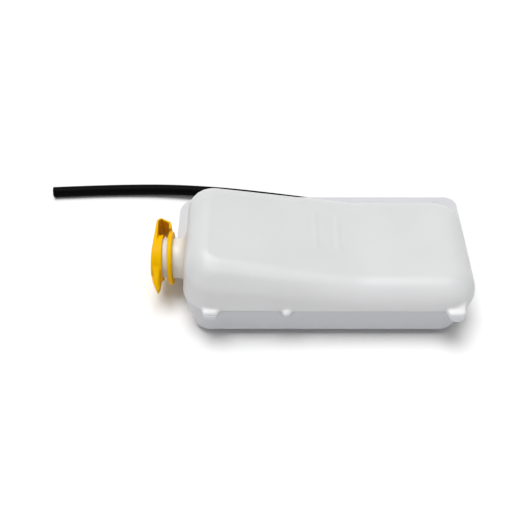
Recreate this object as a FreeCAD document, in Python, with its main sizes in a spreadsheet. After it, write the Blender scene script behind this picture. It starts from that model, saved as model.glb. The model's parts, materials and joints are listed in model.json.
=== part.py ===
import FreeCAD, Part
import math
import os
import Sketcher
from FreeCAD import Placement, Rotation, Vector

# Coolant reservoir, lying on its flat back. +X runs away from the filler neck, +Z is up,
# and the origin is under the middle of the tank with its cap. Lengths are in millimetres.

DIMENSIONS = [
    # Tank, measured outside
    ("tank_length", 288.9),
    ("tank_depth", 139.5),
    ("tank_thick", 66.7),
    ("wall", 2.5),
    ("seam_height", 41.0),
    ("crown_rise", 27.3),
    ("crown_run", 173.0),
    ("knee_radius", 140.0),
    ("near_corner", 37.0),
    ("far_corner", 28.0),
    ("crown_radius", 23.0),
    ("base_radius", 13.0),
    ("draft", 4.5),
    # Level marks across the crown
    ("mark_length", 46.0),
    ("mark_width", 3.0),
    ("mark_relief", 0.6),
    ("mark_from_neck_end", 132.0),
    ("mark_pitch", 22.0),
    ("mark_back", 8.0),
    # Mounting flange along the far side and round the neck end
    ("flange_width", 20.5),
    ("flange_thick", 5.0),
    ("flange_overhang", 10.2),
    ("flange_short", 1.0),
    ("flange_corner", 24.0),
    ("flange_end_corner", 17.0),
    ("sleeve_from_end", 21.45),
    ("sleeve_from_wall", 8.3),
    ("sleeve_wall", 1.5),
    ("bolt_radius", 3.3),
    # Lugs on the near side
    ("lug_out", 10.0),
    ("lug_thick", 8.0),
    ("lug_width", 16.0),
    ("lug_from_neck_end", 28.5),
    ("end_lug_width", 16.5),
    ("end_lug_from_end", 24.1),
    ("lug_round", 2.0),
    ("pip_radius", 5.8),
    ("pip_out", 3.0),
    ("pip_from_neck_end", 102.2),
    # Filler neck
    ("neck_radius", 20.7),
    ("neck_wall", 2.6),
    ("neck_length", 28.7),
    ("neck_fit", 0.05),
    ("neck_tail", 3.0),
    ("root_flange", 4.0),
    ("root_thick", 1.5),
    ("root_fillet", 3.0),
    ("bead_height", 0.9),
    ("bead_length", 1.6),
    # Cap collar and strap
    ("strap_angle", 76.0),
    ("collar_from_tank", 11.7),
    ("collar_width", 4.8),
    ("collar_depth", 6.6),
    ("collar_round", 1.6),
    ("collar_play", 0.1),
    ("strap_width", 20.0),
    ("strap_thick", 2.2),
    ("strap_lean", 3.4),
    ("hinge_radius", 36.3),
    ("hinge_lift", 2.7),
    ("web_thick", 0.8),
    # Lid
    ("lid_plate", 2.2),
    ("lid_gap", 0.3),
    ("seal_thick", 0.8),
    ("seal_width", 2.2),
    ("skirt_cover", 6.8),
    ("skirt_wall", 2.0),
    ("skirt_play", 0.6),
    ("lid_round", 1.4),
    ("tab_width", 14.0),
    ("tab_reach", 39.0),
    ("tab_drop", 4.8),
    ("tab_thick", 2.4),
    # Hose fitting in the far wall
    ("elbow_from_end", 50.0),
    ("elbow_height", 27.0),
    ("elbow_reach", 15.0),
    ("elbow_outlet", 31.0),
    ("stem_radius", 5.0),
    ("elbow_bore", 2.8),
    ("stem_tail", 5.0),
    ("grommet_hole", 6.8),
    ("grommet_lip", 1.6),
    ("grommet_lip_thick", 1.8),
    ("grommet_room", 0.3),
    ("barb_height", 0.45),
    ("barb_length", 4.0),
    # Hose and its clamp
    ("hose_radius", 6.0),
    ("hose_wall", 2.0),
    ("hose_start", 10.0),
    ("clamp_width", 8.0),
    ("clamp_thick", 0.9),
    ("clamp_squeeze", 0.1),
    ("clamp_ear", 7.0),
    ("clamp_split", 3.0),
]

# Route of the free hose past the fitting, from the tank to the cut end
HOSE_POINTS = [
    (57.9, 79.5, 27.0),
    (-22.1, 106.0, 17.5),
    (-114.1, 128.5, 10.0),
    (-203.6, 136.0, 6.05),
    (-293.1, 130.3, 6.05),
]
ARC_SHARE = 0.45

# Places that follow from the dimensions
CAP_REACH = "(dims.neck_length + dims.lid_gap + dims.seal_thick + dims.lid_plate)"
TANK_LEFT = f"(({CAP_REACH} - dims.tank_length) / 2)"
TANK_RIGHT = f"(({CAP_REACH} + dims.tank_length) / 2)"
TANK_FRONT = "((dims.lug_out - dims.tank_depth - dims.flange_width) / 2)"
TANK_BACK = f"({TANK_FRONT} + dims.tank_depth)"
TANK_MIDDLE = f"({TANK_FRONT} + dims.tank_depth / 2)"
KNEE = f"({TANK_LEFT} + dims.crown_run)"
SLOPE = "(dims.crown_rise / dims.crown_run)"
NECK_HOLE = "(dims.neck_radius + dims.neck_fit)"
NECK_BORE = "(dims.neck_radius - dims.neck_wall)"
SKIRT_INNER = "(dims.neck_radius + dims.skirt_play)"
SKIRT_OUTER = f"({SKIRT_INNER} + dims.skirt_wall)"
SKIRT_EDGE = "(dims.neck_length - dims.skirt_cover)"
PLATE_UNDER = "(dims.neck_length + dims.lid_gap + dims.seal_thick)"
HINGE_HEIGHT = f"({SKIRT_EDGE} + dims.hinge_lift)"
COLLAR_TOP = "(dims.collar_from_tank + dims.collar_width)"
COLLAR_INNER = "(dims.neck_radius + dims.collar_play)"
COLLAR_OUTER = f"({COLLAR_INNER} + dims.collar_depth)"
SLEEVE_RADIUS = "(dims.bolt_radius + dims.sleeve_wall)"
SLEEVE_LINE = f"({TANK_BACK} + dims.sleeve_from_wall)"
ELBOW_X = f"({TANK_RIGHT} - dims.elbow_from_end)"
OUTLET_Y = f"({TANK_BACK} + dims.elbow_reach)"
OUTLET_RADIUS = "(dims.hose_radius - dims.hose_wall)"
GROMMET_LIP = "(dims.grommet_hole + dims.grommet_lip)"
ROOT_RADIUS = "(dims.neck_radius + dims.root_flange)"

# Sketch coordinates that the solids start from, before any place is applied
ZERO = "0"

doc = FreeCAD.newDocument("coolant_reservoir")
dims = doc.addObject("Spreadsheet::Sheet", "dims")
for row, (alias, size) in enumerate(DIMENSIONS, start=1):
    dims.set(f"A{row}", alias)
    dims.set(f"B{row}", str(size))
    dims.setAlias(f"B{row}", alias)
doc.recompute()

sub_parts = []


def value(text):
    """The number that an expression on the dimensions gives now."""
    return float(dims.evalExpression(text))


def new_body(name):
    return doc.addObject("PartDesign::Body", name)


def outline(body, plane, points):
    """A closed sketch of straight sides whose corners are tied to the dimensions."""
    sketch = body.newObject("Sketcher::SketchObject", body.Name + "_sketch")
    support = next(f for f in body.Origin.OriginFeatures if f.Role == plane)
    sketch.AttachmentSupport = [(support, "")]
    sketch.MapMode = "FlatFace"
    corners = [Vector(value(x), value(y), 0) for x, y in points]
    count = len(corners)
    for i in range(count):
        sketch.addGeometry(Part.LineSegment(corners[i], corners[(i + 1) % count]), False)
    for i in range(count):
        sketch.addConstraint(Sketcher.Constraint("Coincident", i, 2, (i + 1) % count, 1))
    for i, point in enumerate(points):
        for kind, text in zip(("DistanceX", "DistanceY"), point):
            index = sketch.addConstraint(Sketcher.Constraint(kind, i, 1, value(text)))
            sketch.setExpression(f"Constraints[{index}]", text)
    return sketch


def pad(body, plane, points, length, side="Symmetric"):
    feature = body.newObject("PartDesign::Pad", body.Name + "_pad")
    feature.Profile = outline(body, plane, points)
    feature.SideType = side
    feature.setExpression("Length", length)
    doc.recompute()
    return feature


def revolve(body, points):
    """Turns an outline of (radius, height) corners about the body's Z axis."""
    feature = body.newObject("PartDesign::Revolution", body.Name + "_turn")
    sketch = outline(body, "XZ_Plane", points)
    feature.Profile = sketch
    feature.ReferenceAxis = (sketch, ["V_Axis"])
    feature.Angle = 360
    doc.recompute()
    return feature


def fillet(body, base, radius, wanted):
    """Rounds the edges of the base feature that the test picks."""
    names = [f"Edge{i}" for i, edge in enumerate(base.Shape.Edges, start=1) if wanted(edge)]
    if not names:
        raise RuntimeError(f"{body.Name}: no edge to round")
    feature = body.newObject("PartDesign::Fillet", body.Name + "_fillet")
    feature.Base = (base, names)
    feature.setExpression("Radius", radius)
    doc.recompute()
    return feature


def place(item, x=ZERO, y=ZERO, z=ZERO, turn=None):
    """Sets the place of an object from expressions and, where it is turned, a rotation."""
    if turn is not None:
        item.Placement = Placement(Vector(), turn)
    for axis, text in zip("xyz", (x, y, z)):
        item.setExpression(f".Placement.Base.{axis}", text)
    return item


def primitive(kind, name, **sizes):
    item = doc.addObject("Part::" + kind, name)
    for prop, text in sizes.items():
        item.setExpression(prop, text)
    return item


def cut(name, base, tool):
    item = doc.addObject("Part::Cut", name)
    item.Base = base
    item.Tool = tool
    return item


def fuse(name, *shapes):
    item = doc.addObject("Part::MultiFuse", name)
    item.Shapes = list(shapes)
    return item


def keep(item, node):
    item.Label = node
    sub_parts.append(item)
    return item


def runs_along(axis):
    """A test for straight edges that run along one axis."""
    def test(edge):
        start = edge.tangentAt(edge.FirstParameter)
        return edge.Curve.TypeId == "Part::GeomLine" and abs(abs(start.dot(axis)) - 1) < 1e-6
    return test


def steep(edge):
    """True for a corner edge that runs upright or nearly so."""
    if len(edge.Vertexes) != 2:
        return False
    chord = edge.Vertexes[1].Point - edge.Vertexes[0].Point
    return abs(chord.z) > 0.9 * chord.Length


def border(shape, upward):
    """A test for edges between a face that looks up (or down) and an upright face."""
    def is_cap(face):
        u0, u1, v0, v1 = face.ParameterRange
        return face.normalAt((u0 + u1) / 2, (v0 + v1) / 2).z * upward > 0.5
    caps = [face for face in shape.Faces if is_cap(face)]
    walls = [face for face in shape.Faces if not is_cap(face)]

    def test(edge):
        on_cap = any(edge.isSame(e) for face in caps for e in face.Edges)
        return on_cap and any(edge.isSame(e) for face in walls for e in face.Edges)
    return test


def at_circle(radius, height):
    """A test for the ring-shaped edge with a radius and height about the body's Z axis."""
    def test(edge):
        if edge.Curve.TypeId != "Part::GeomCircle":
            return False
        return abs(edge.Curve.Radius - radius) < 1e-4 and abs(edge.Curve.Center.z - height) < 1e-4
    return test


ALONG_X = Rotation(Vector(0, 1, 0), 90)
ALONG_BACK = Rotation(Vector(1, 0, 0), -90)
ALONG_LEFT = Rotation(Vector(0, 1, 0), -90)
# Half-round bosses: the axis they run along and the side of the seam they fill
FRONT_UPPER = Rotation(Vector(1, 0, 0), 90)
FRONT_LOWER = Rotation(Vector(0, 1, 0), 180) * FRONT_UPPER
RIGHT_UPPER = Rotation(Vector(0, 0, 1), 90) * FRONT_UPPER
RIGHT_LOWER = Rotation(Vector(1, 0, 0), 180) * RIGHT_UPPER


def lean_walls(body, half, seam, away):
    """Trims the near and far walls so that they lean in from the seam towards the height away."""
    lean = f"tan(dims.draft) * abs({away} - {seam})"
    outside = f"({half} + dims.wall)"
    for side in ("", "-"):
        corners = [(f"{side}({half})", seam), (f"{side}({half} - {lean})", away),
                   (f"{side}{outside}", away), (f"{side}{outside}", seam)]
        feature = body.newObject("PartDesign::Pocket", body.Name + "_trim")
        feature.Profile = outline(body, "YZ_Plane", corners)
        feature.SideType = "Symmetric"
        feature.setExpression("Length", "2 * dims.tank_length")
        doc.recompute()
    return feature


def round_corners(body, block, inset):
    """Rounds the four upright corners, more on the near side."""
    first = fillet(body, block, f"dims.near_corner - {inset}", lambda e: steep(e) and e.CenterOfMass.y < 0)
    return fillet(body, first, f"dims.far_corner - {inset}", lambda e: steep(e) and e.CenterOfMass.y > 0)


def front_block(name, inset):
    """Solid block of the upper half, drawn in from the outside by an inset."""
    body = new_body(name)
    bottom = f"(dims.seam_height - {inset})"
    top = f"(dims.tank_thick - {inset})"
    crest = f"({top} + {SLOPE} * (dims.crown_run - {inset}))"
    left = f"({TANK_LEFT} + {inset})"
    right = f"({TANK_RIGHT} - {inset})"
    lean_left = f"({left} + tan(dims.draft) * ({crest} - {bottom}))"
    lean_right = f"({right} - tan(dims.draft) * ({top} - {bottom}))"
    corners = [(left, bottom), (right, bottom), (lean_right, top), (KNEE, top), (lean_left, crest)]
    half = f"(dims.tank_depth / 2 - {inset})"
    pad(body, "XZ_Plane", corners, f"2 * {half}")
    leant = lean_walls(body, half, bottom, f"({crest} + dims.wall)")
    knee = value(KNEE)
    across = runs_along(Vector(0, 1, 0))

    def at_knee(edge):
        return across(edge) and abs(edge.CenterOfMass.x - knee) < 1e-4

    soft = fillet(body, leant, "dims.knee_radius", at_knee)
    rounded = round_corners(body, soft, inset)
    room = "0.95 * (dims.tank_thick - dims.seam_height)"
    crown = f"min(dims.crown_radius; 0.9 * dims.far_corner; {room}) - {inset}"
    fillet(body, rounded, crown, border(rounded.Shape, 1))
    return place(body, y=TANK_MIDDLE)


def rear_block(name, inset):
    """Solid block of the lower half, drawn in from the outside by an inset."""
    body = new_body(name)
    left = f"({TANK_LEFT} + {inset})"
    right = f"({TANK_RIGHT} - {inset})"
    top = f"(dims.seam_height + {inset})"
    lean = f"(tan(dims.draft) * ({top} - {inset}))"
    corners = [(f"{left} + {lean}", inset), (f"{right} - {lean}", inset), (right, top), (left, top)]
    half = f"(dims.tank_depth / 2 - {inset})"
    pad(body, "XZ_Plane", corners, f"2 * {half}")
    leant = lean_walls(body, half, top, f"({inset} - dims.wall)")
    rounded = round_corners(body, leant, inset)
    base = f"min(dims.base_radius; 0.9 * dims.far_corner; 0.9 * dims.seam_height) - {inset}"
    fillet(body, rounded, base, border(rounded.Shape, -1))
    return place(body, y=TANK_MIDDLE)


def half_round(name, turn, x, y, radius, length):
    """Half of a round boss that the seam cuts through the middle."""
    boss = primitive("Cylinder", name, Radius=radius, Height=length)
    boss.Angle = 180
    return place(boss, x, y, "dims.seam_height", turn)


def neck_boss(name, turn):
    """Half of the round pad on the neck end that the filler neck seats on."""
    return half_round(name, turn, TANK_LEFT, TANK_MIDDLE, ROOT_RADIUS, "dims.far_corner")


def neck_opening(name):
    """Round hole for the filler neck through the neck end of the tank."""
    hole = primitive("Cylinder", name, Radius=NECK_HOLE, Height="2 * dims.wall + dims.far_corner")
    return place(hole, f"{TANK_LEFT} - 2 * dims.wall", TANK_MIDDLE, "dims.seam_height", ALONG_X)


def lug(name, width, middle):
    """Square lug that stands on the seam and reaches into the near wall."""
    body = new_body(name)
    depth = "(dims.lug_out + dims.near_corner / 2)"
    half = f"({width} / 2)"
    corners = [(f"-{half}", ZERO), (half, ZERO), (half, depth), (f"-{half}", depth)]
    block = pad(body, "XY_Plane", corners, "dims.lug_thick", "One side")
    fillet(body, block, "dims.lug_round", lambda e: e.CenterOfMass.y < 1e-6 and e.CenterOfMass.z > 1e-6)
    return place(body, middle, f"{TANK_FRONT} - dims.lug_out", "dims.seam_height")


def pip(name, turn):
    """Half of the round pip on the near side."""
    middle = f"{TANK_LEFT} + dims.pip_from_neck_end"
    root = f"{TANK_FRONT} + dims.wall"
    return half_round(name, turn, middle, root, "dims.pip_radius", "dims.pip_out + dims.wall")


def level_mark(name, place_from_neck_end):
    """Raised bar across the sloping crown."""
    bar = primitive("Box", name, Length="dims.mark_width", Width="dims.mark_length",
                    Height="dims.mark_relief + dims.wall / 2")
    start = f"({TANK_LEFT} + {place_from_neck_end})"
    tilt = math.degrees(math.atan(value(SLOPE)))
    height = f"dims.tank_thick + {SLOPE} * ({KNEE} - {start}) - dims.wall / 2"
    near = f"{TANK_MIDDLE} + dims.mark_back - dims.mark_length / 2"
    return place(bar, start, near, height, Rotation(Vector(0, 1, 0), tilt))


def make_front_half():
    outer = front_block("front_outer", ZERO)
    cavity = front_block("front_cavity", "dims.wall")
    first = lug("near_lug", "dims.lug_width", f"{TANK_LEFT} + dims.lug_from_neck_end")
    second = lug("end_lug", "dims.end_lug_width", f"{TANK_RIGHT} - dims.end_lug_from_end")
    near_pip = pip("front_pip", FRONT_UPPER)
    boss = neck_boss("front_boss", RIGHT_UPPER)
    marks = []
    for i in range(2):
        marks.append(level_mark(f"level_mark_{i}", f"dims.mark_from_neck_end + {i} * dims.mark_pitch"))
    solid = fuse("front_solid", outer, first, second, near_pip, boss)
    shell = cut("front_shell", solid, fuse("front_hollow", cavity, neck_opening("front_opening")))
    return keep(fuse("front_marked", shell, *marks), "front_half")


def flange_plate():
    """Flat flange under the seam, wider than the tank at the far side and the neck end."""
    body = new_body("flange_plate")
    left = f"({TANK_LEFT} - dims.flange_overhang)"
    right = f"({TANK_RIGHT} - dims.flange_short)"
    near = f"({ROOT_RADIUS} + dims.wall)"
    far = "(dims.tank_depth / 2 + dims.flange_width)"
    corners = [(left, near), (right, near), (right, far), (left, far)]
    plate = pad(body, "XY_Plane", corners, "dims.flange_thick", "One side")
    far_row = value(far)

    def far_upright(edge):
        return steep(edge) and abs(edge.CenterOfMass.y - far_row) < 1e-4

    first = fillet(body, plate, "dims.flange_corner", lambda e: far_upright(e) and e.CenterOfMass.x < 0)
    fillet(body, first, "dims.flange_end_corner", lambda e: far_upright(e) and e.CenterOfMass.x > 0)
    return place(body, y=TANK_MIDDLE, z="dims.seam_height - dims.flange_thick")


SLEEVES = {
    "left": f"{TANK_LEFT} + dims.sleeve_from_end",
    "right": f"{TANK_RIGHT} - dims.sleeve_from_end",
}


def sleeve_place(item, name):
    return place(item, SLEEVES[name], SLEEVE_LINE, "dims.seam_height - dims.flange_thick")


def make_rear_half():
    outer = rear_block("rear_outer", ZERO)
    cavity = rear_block("rear_cavity", "dims.wall")
    near_pip = pip("rear_pip", FRONT_LOWER)
    boss = neck_boss("rear_boss", RIGHT_LOWER)
    pad_radius = f"{GROMMET_LIP} + dims.grommet_room"
    outlet_pad = primitive("Cylinder", "outlet_pad", Radius=pad_radius, Height="dims.base_radius")
    place(outlet_pad, ELBOW_X, f"{TANK_BACK} - dims.base_radius", "dims.elbow_height", ALONG_BACK)
    solid = fuse("rear_solid", outer, flange_plate(), near_pip, boss, outlet_pad)
    outlet = primitive("Cylinder", "grommet_opening", Radius="dims.grommet_hole", Height="4 * dims.wall")
    place(outlet, ELBOW_X, f"{TANK_BACK} - 3 * dims.wall", "dims.elbow_height", ALONG_BACK)
    spot = primitive("Cylinder", "grommet_spot", Radius=pad_radius, Height="dims.base_radius")
    place(spot, ELBOW_X, f"{TANK_BACK} - dims.wall - dims.base_radius", "dims.elbow_height", ALONG_BACK)
    holes = []
    for name in SLEEVES:
        hole = primitive("Cylinder", f"sleeve_hole_{name}", Radius=SLEEVE_RADIUS, Height="dims.flange_thick")
        holes.append(sleeve_place(hole, name))
    hollow = fuse("rear_hollow", cavity, neck_opening("rear_opening"), outlet, spot, *holes)
    return keep(cut("rear_shell", solid, hollow), "rear_half")


def make_sleeves():
    """Metal sleeves that take the bolt load in the two flange holes."""
    for name in SLEEVES:
        height = "dims.flange_thick"
        outer = primitive("Cylinder", f"sleeve_outer_{name}", Radius=SLEEVE_RADIUS, Height=height)
        bore = primitive("Cylinder", f"sleeve_bore_{name}", Radius="dims.bolt_radius", Height=height)
        ring = cut(f"sleeve_ring_{name}", sleeve_place(outer, name), sleeve_place(bore, name))
        keep(ring, f"sleeve_{name}")


def on_neck(item):
    """Stands a piece that was drawn upright on the neck, with its X side at the strap."""
    angle = math.radians(value("dims.strap_angle"))
    strap_side = Vector(0, math.sin(angle), math.cos(angle))
    outward = Vector(-1, 0, 0)
    turn = Rotation(strap_side, outward.cross(strap_side), outward)
    return place(item, TANK_LEFT, TANK_MIDDLE, "dims.seam_height", turn)


def make_filler_neck():
    body = new_body("neck")
    tail = "-(dims.wall + dims.neck_tail)"
    root = ROOT_RADIUS
    bead = "(dims.neck_radius + dims.bead_height)"
    bead_start = f"({COLLAR_TOP} + dims.collar_play)"
    bead_end = f"({bead_start} + dims.bead_length)"
    turned = revolve(body, [
        (NECK_BORE, tail), ("dims.neck_radius", tail), ("dims.neck_radius", ZERO), (root, ZERO),
        (root, "dims.root_thick"), ("dims.neck_radius", "dims.root_thick"), ("dims.neck_radius", bead_start),
        (bead, bead_start), ("dims.neck_radius", bead_end), ("dims.neck_radius", "dims.neck_length"),
        (NECK_BORE, "dims.neck_length"),
    ])
    root_ring = at_circle(value("dims.neck_radius"), value("dims.root_thick"))
    fillet(body, turned, "min(dims.root_fillet; 0.9 * dims.root_flange)", root_ring)
    return keep(on_neck(body), "filler_neck")


def make_cap_collar():
    """Loose ring on the neck, with the strap that carries the lid's hinge."""
    body = new_body("collar")
    ring = revolve(body, [
        (COLLAR_INNER, "dims.collar_from_tank"), (COLLAR_OUTER, "dims.collar_from_tank"),
        (COLLAR_OUTER, COLLAR_TOP), (COLLAR_INNER, COLLAR_TOP),
    ])
    low_rim = at_circle(value(COLLAR_OUTER), value("dims.collar_from_tank"))
    high_rim = at_circle(value(COLLAR_OUTER), value(COLLAR_TOP))
    fillet(body, ring, "min(dims.collar_round; 0.4 * dims.collar_width)", lambda e: low_rim(e) or high_rim(e))
    foot = f"({COLLAR_OUTER} - dims.collar_depth / 2)"
    low = f"({COLLAR_TOP} - dims.strap_thick)"
    bend = "(dims.hinge_radius - dims.strap_lean)"
    top = f"({HINGE_HEIGHT} - dims.web_thick)"
    strap = pad(body, "XZ_Plane", [
        (foot, low), (f"{bend} - dims.strap_thick / 2", low), (bend, f"{low} + dims.strap_thick"),
        ("dims.hinge_radius", top), ("dims.hinge_radius - dims.strap_thick", top),
        (f"{bend} - dims.strap_thick", f"{low} + dims.strap_thick"), (foot, f"{low} + dims.strap_thick"),
    ], "dims.strap_width")
    doc.recompute()
    if strap.Shape.Volume <= ring.Shape.Volume:
        raise RuntimeError("the strap adds nothing to the collar")
    return keep(on_neck(body), "cap_collar")


def make_film_hinge():
    """Thin web that the lid turns on, between the strap and the lid's ear."""
    body = new_body("hinge_web")
    low = f"({HINGE_HEIGHT} - dims.web_thick)"
    high = f"({HINGE_HEIGHT} + dims.web_thick)"
    inner = "(dims.hinge_radius - dims.web_thick)"
    reach = "dims.hinge_radius"
    pad(body, "XZ_Plane", [(inner, low), (reach, low), (reach, high), (inner, high)],
        "dims.strap_width")
    return keep(on_neck(body), "film_hinge")


def make_cap_lid():
    body = new_body("lid")
    turned = revolve(body, [
        (ZERO, PLATE_UNDER), (SKIRT_INNER, PLATE_UNDER), (SKIRT_INNER, SKIRT_EDGE), (SKIRT_OUTER, SKIRT_EDGE),
        (SKIRT_OUTER, CAP_REACH), (ZERO, CAP_REACH),
    ])
    rim = at_circle(value(SKIRT_OUTER), value(CAP_REACH))
    fillet(body, turned, "min(dims.lid_round; 0.8 * dims.skirt_wall)", rim)
    # Ear: out from the lid in its own plane, then down to the web
    ear_top = f"({CAP_REACH} - dims.lid_round)"
    ear_low = f"({ear_top} - dims.strap_thick)"
    root = f"({SKIRT_OUTER} - dims.skirt_wall / 2)"
    web = f"({HINGE_HEIGHT} + dims.web_thick)"
    inner = "(dims.hinge_radius - dims.strap_thick)"
    pad(body, "XZ_Plane", [
        (root, ear_low), (inner, ear_low), (inner, web), ("dims.hinge_radius", web),
        ("dims.hinge_radius", f"{ear_top} - dims.strap_thick"), (inner, ear_top), (root, ear_top),
    ], "dims.strap_width")
    # Pull tab: slopes back from the lid towards the tank
    tip = f"({ear_top} - dims.tab_drop)"
    pad(body, "XZ_Plane", [
        (f"-{root}", ear_top), ("-dims.tab_reach", tip), ("-dims.tab_reach", f"{tip} - dims.tab_thick / 2"),
        (f"-{SKIRT_OUTER}", f"{ear_top} - dims.tab_thick"), (f"-{root}", f"{ear_top} - dims.tab_thick"),
    ], "dims.tab_width")
    return keep(on_neck(body), "cap_lid")


def make_lid_seal():
    body = new_body("seal")
    low = "(dims.neck_length + dims.lid_gap)"
    outer = "dims.neck_radius"
    inner = "(dims.neck_radius - dims.seal_width)"
    revolve(body, [(inner, low), (outer, low), (outer, PLATE_UNDER), (inner, PLATE_UNDER)])
    return keep(on_neck(body), "lid_seal")


def make_hose_elbow():
    """Barbed elbow: a stem through the far wall and an outlet towards the neck end."""
    tail = f"({TANK_BACK} - dims.wall - dims.stem_tail)"
    stem_length = f"{OUTLET_Y} - {tail}"
    stem = primitive("Cylinder", "stem", Radius="dims.stem_radius", Height=stem_length)
    place(stem, ELBOW_X, tail, "dims.elbow_height", ALONG_BACK)
    heel = primitive("Sphere", "heel", Radius="dims.stem_radius")
    place(heel, ELBOW_X, OUTLET_Y, "dims.elbow_height")
    outlet = primitive("Cylinder", "outlet", Radius=OUTLET_RADIUS, Height="dims.elbow_outlet")
    place(outlet, ELBOW_X, OUTLET_Y, "dims.elbow_height", ALONG_LEFT)
    stop = primitive("Cylinder", "outlet_stop", Radius="dims.stem_radius", Height="dims.hose_start")
    place(stop, ELBOW_X, OUTLET_Y, "dims.elbow_height", ALONG_LEFT)
    barb = primitive("Cone", "barb", Radius1=f"{OUTLET_RADIUS} + dims.barb_height",
                     Radius2=f"{OUTLET_RADIUS} - dims.barb_height", Height="dims.barb_length")
    barb_end = f"{ELBOW_X} - dims.elbow_outlet + dims.barb_length"
    place(barb, barb_end, OUTLET_Y, "dims.elbow_height", ALONG_LEFT)
    seat = primitive("Cylinder", "stem_seat", Radius="dims.grommet_hole", Height="dims.grommet_lip_thick")
    place(seat, ELBOW_X, f"{TANK_BACK} + dims.grommet_lip_thick", "dims.elbow_height", ALONG_BACK)
    solid = fuse("elbow_solid", stem, heel, outlet, stop, barb, seat)
    stem_bore = primitive("Cylinder", "stem_bore", Radius="dims.elbow_bore", Height=stem_length)
    place(stem_bore, ELBOW_X, tail, "dims.elbow_height", ALONG_BACK)
    heel_bore = primitive("Sphere", "heel_bore", Radius="dims.elbow_bore")
    place(heel_bore, ELBOW_X, OUTLET_Y, "dims.elbow_height")
    outlet_bore = primitive("Cylinder", "outlet_bore", Radius="dims.elbow_bore", Height="dims.elbow_outlet")
    place(outlet_bore, ELBOW_X, OUTLET_Y, "dims.elbow_height", ALONG_LEFT)
    bores = fuse("elbow_bores", stem_bore, heel_bore, outlet_bore)
    return keep(cut("elbow", solid, bores), "hose_elbow")


def make_elbow_grommet():
    """Rubber ring with a groove that holds the edge of the hole in the wall."""
    body = new_body("grommet")
    lip = GROMMET_LIP
    low = "-(dims.wall + dims.grommet_lip_thick)"
    revolve(body, [
        ("dims.stem_radius", low), (lip, low), (lip, "-dims.wall"), ("dims.grommet_hole", "-dims.wall"),
        ("dims.grommet_hole", ZERO), (lip, ZERO), (lip, "dims.grommet_lip_thick"),
        ("dims.stem_radius", "dims.grommet_lip_thick"),
    ])
    return keep(place(body, ELBOW_X, TANK_BACK, "dims.elbow_height", ALONG_BACK), "elbow_grommet")


def make_hose_clamp():
    """Spring band round the hose over the barb, split on the far side between two ears."""
    inner = "(dims.hose_radius - dims.clamp_squeeze)"
    outer = f"({inner} + dims.clamp_thick)"
    start = f"({ELBOW_X} - dims.elbow_outlet + dims.barb_length + dims.clamp_width)"
    band = primitive("Cylinder", "band_outer", Radius=outer, Height="dims.clamp_width")
    bore = primitive("Cylinder", "band_bore", Radius=inner, Height="dims.clamp_width")
    for item in (band, bore):
        place(item, start, OUTLET_Y, "dims.elbow_height", ALONG_LEFT)
    ring = cut("band_ring", band, bore)
    left = f"({start} - dims.clamp_width)"
    gap = "(dims.clamp_split / 2)"
    split = primitive("Box", "band_split", Length="dims.clamp_width", Width=outer, Height="dims.clamp_split")
    place(split, left, OUTLET_Y, f"dims.elbow_height - {gap}")
    ears = []
    for name, low in (("lower", f"dims.elbow_height - {gap} - dims.clamp_thick"),
                      ("upper", f"dims.elbow_height + {gap}")):
        ear = primitive("Box", f"band_ear_{name}", Length="dims.clamp_width", Width="dims.clamp_ear",
                        Height="dims.clamp_thick")
        ears.append(place(ear, left, f"{OUTLET_Y} + sqrt({inner}^2 - {gap}^2)", low))
    return keep(fuse("band", cut("band_open", ring, split), *ears), "hose_clamp")


def hose_path():
    """Straight runs joined by tangent arcs, from the fitting to the cut end."""
    start = Vector(value(f"{ELBOW_X} - dims.hose_start"), value(OUTLET_Y), value("dims.elbow_height"))
    points = [start] + [Vector(*point) for point in HOSE_POINTS]
    edges = []
    last = points[0]
    for before, corner, after in zip(points, points[1:], points[2:]):
        into = (corner - before).normalize()
        out = (after - corner).normalize()
        turn = into.getAngle(out)
        reach = ARC_SHARE * min((corner - before).Length, (after - corner).Length)
        radius = reach / math.tan(turn / 2)
        print(f"hose turn {math.degrees(turn):.1f} degrees, radius {radius:.0f}")
        first = corner - into * reach
        end = corner + out * reach
        towards = (out - into).normalize()
        middle = corner + towards * (radius / math.cos(turn / 2) - radius)
        edges.append(Part.LineSegment(last, first).toShape())
        edges.append(Part.Arc(first, middle, end).toShape())
        last = end
    edges.append(Part.LineSegment(last, points[-1]).toShape())
    return Part.Wire(edges)


def tube(path, radius):
    start = path.Edges[0].firstVertex().Point
    heading = path.Edges[0].tangentAt(path.Edges[0].FirstParameter)
    ring = Part.Wire(Part.makeCircle(radius, start, heading))
    swept = path.makePipeShell([ring], True, False)
    expected = math.pi * radius ** 2 * path.Length
    if abs(swept.Volume / expected - 1) > 0.01:
        raise RuntimeError("the hose is not its section times its length")
    return swept


def make_overflow_hose():
    path = hose_path()
    print(f"hose length {path.Length:.1f}")
    hose = doc.addObject("Part::Feature", "hose")
    hose.Shape = tube(path, value("dims.hose_radius")).cut(tube(path, value(OUTLET_RADIUS)))
    hose.Placement = Placement()
    return keep(hose, "overflow_hose")


def main():
    make_front_half()
    make_rear_half()
    make_sleeves()
    make_filler_neck()
    make_cap_collar()
    make_film_hinge()
    make_cap_lid()
    make_lid_seal()
    make_hose_elbow()
    make_elbow_grommet()
    make_hose_clamp()
    make_overflow_hose()
    doc.recompute()
    for item in doc.Objects:
        if "Invalid" in item.State or "Error" in item.State:
            raise RuntimeError(f"{item.Name} failed: {item.State}")
    for item in sub_parts:
        shape = item.Shape
        if shape.isNull() or not shape.isValid() or len(shape.Solids) != 1:
            raise RuntimeError(f"{item.Label} is not one valid solid")
    os.makedirs("parts", exist_ok=True)
    for item in sub_parts:
        item.Shape.exportStep(f"parts/{item.Label}.step")
        box = item.Shape.BoundBox
        print(f"{item.Label}: {item.Shape.Volume:.0f} mm3, {box}")


main()
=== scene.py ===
import json
import math
from functools import cache

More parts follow.
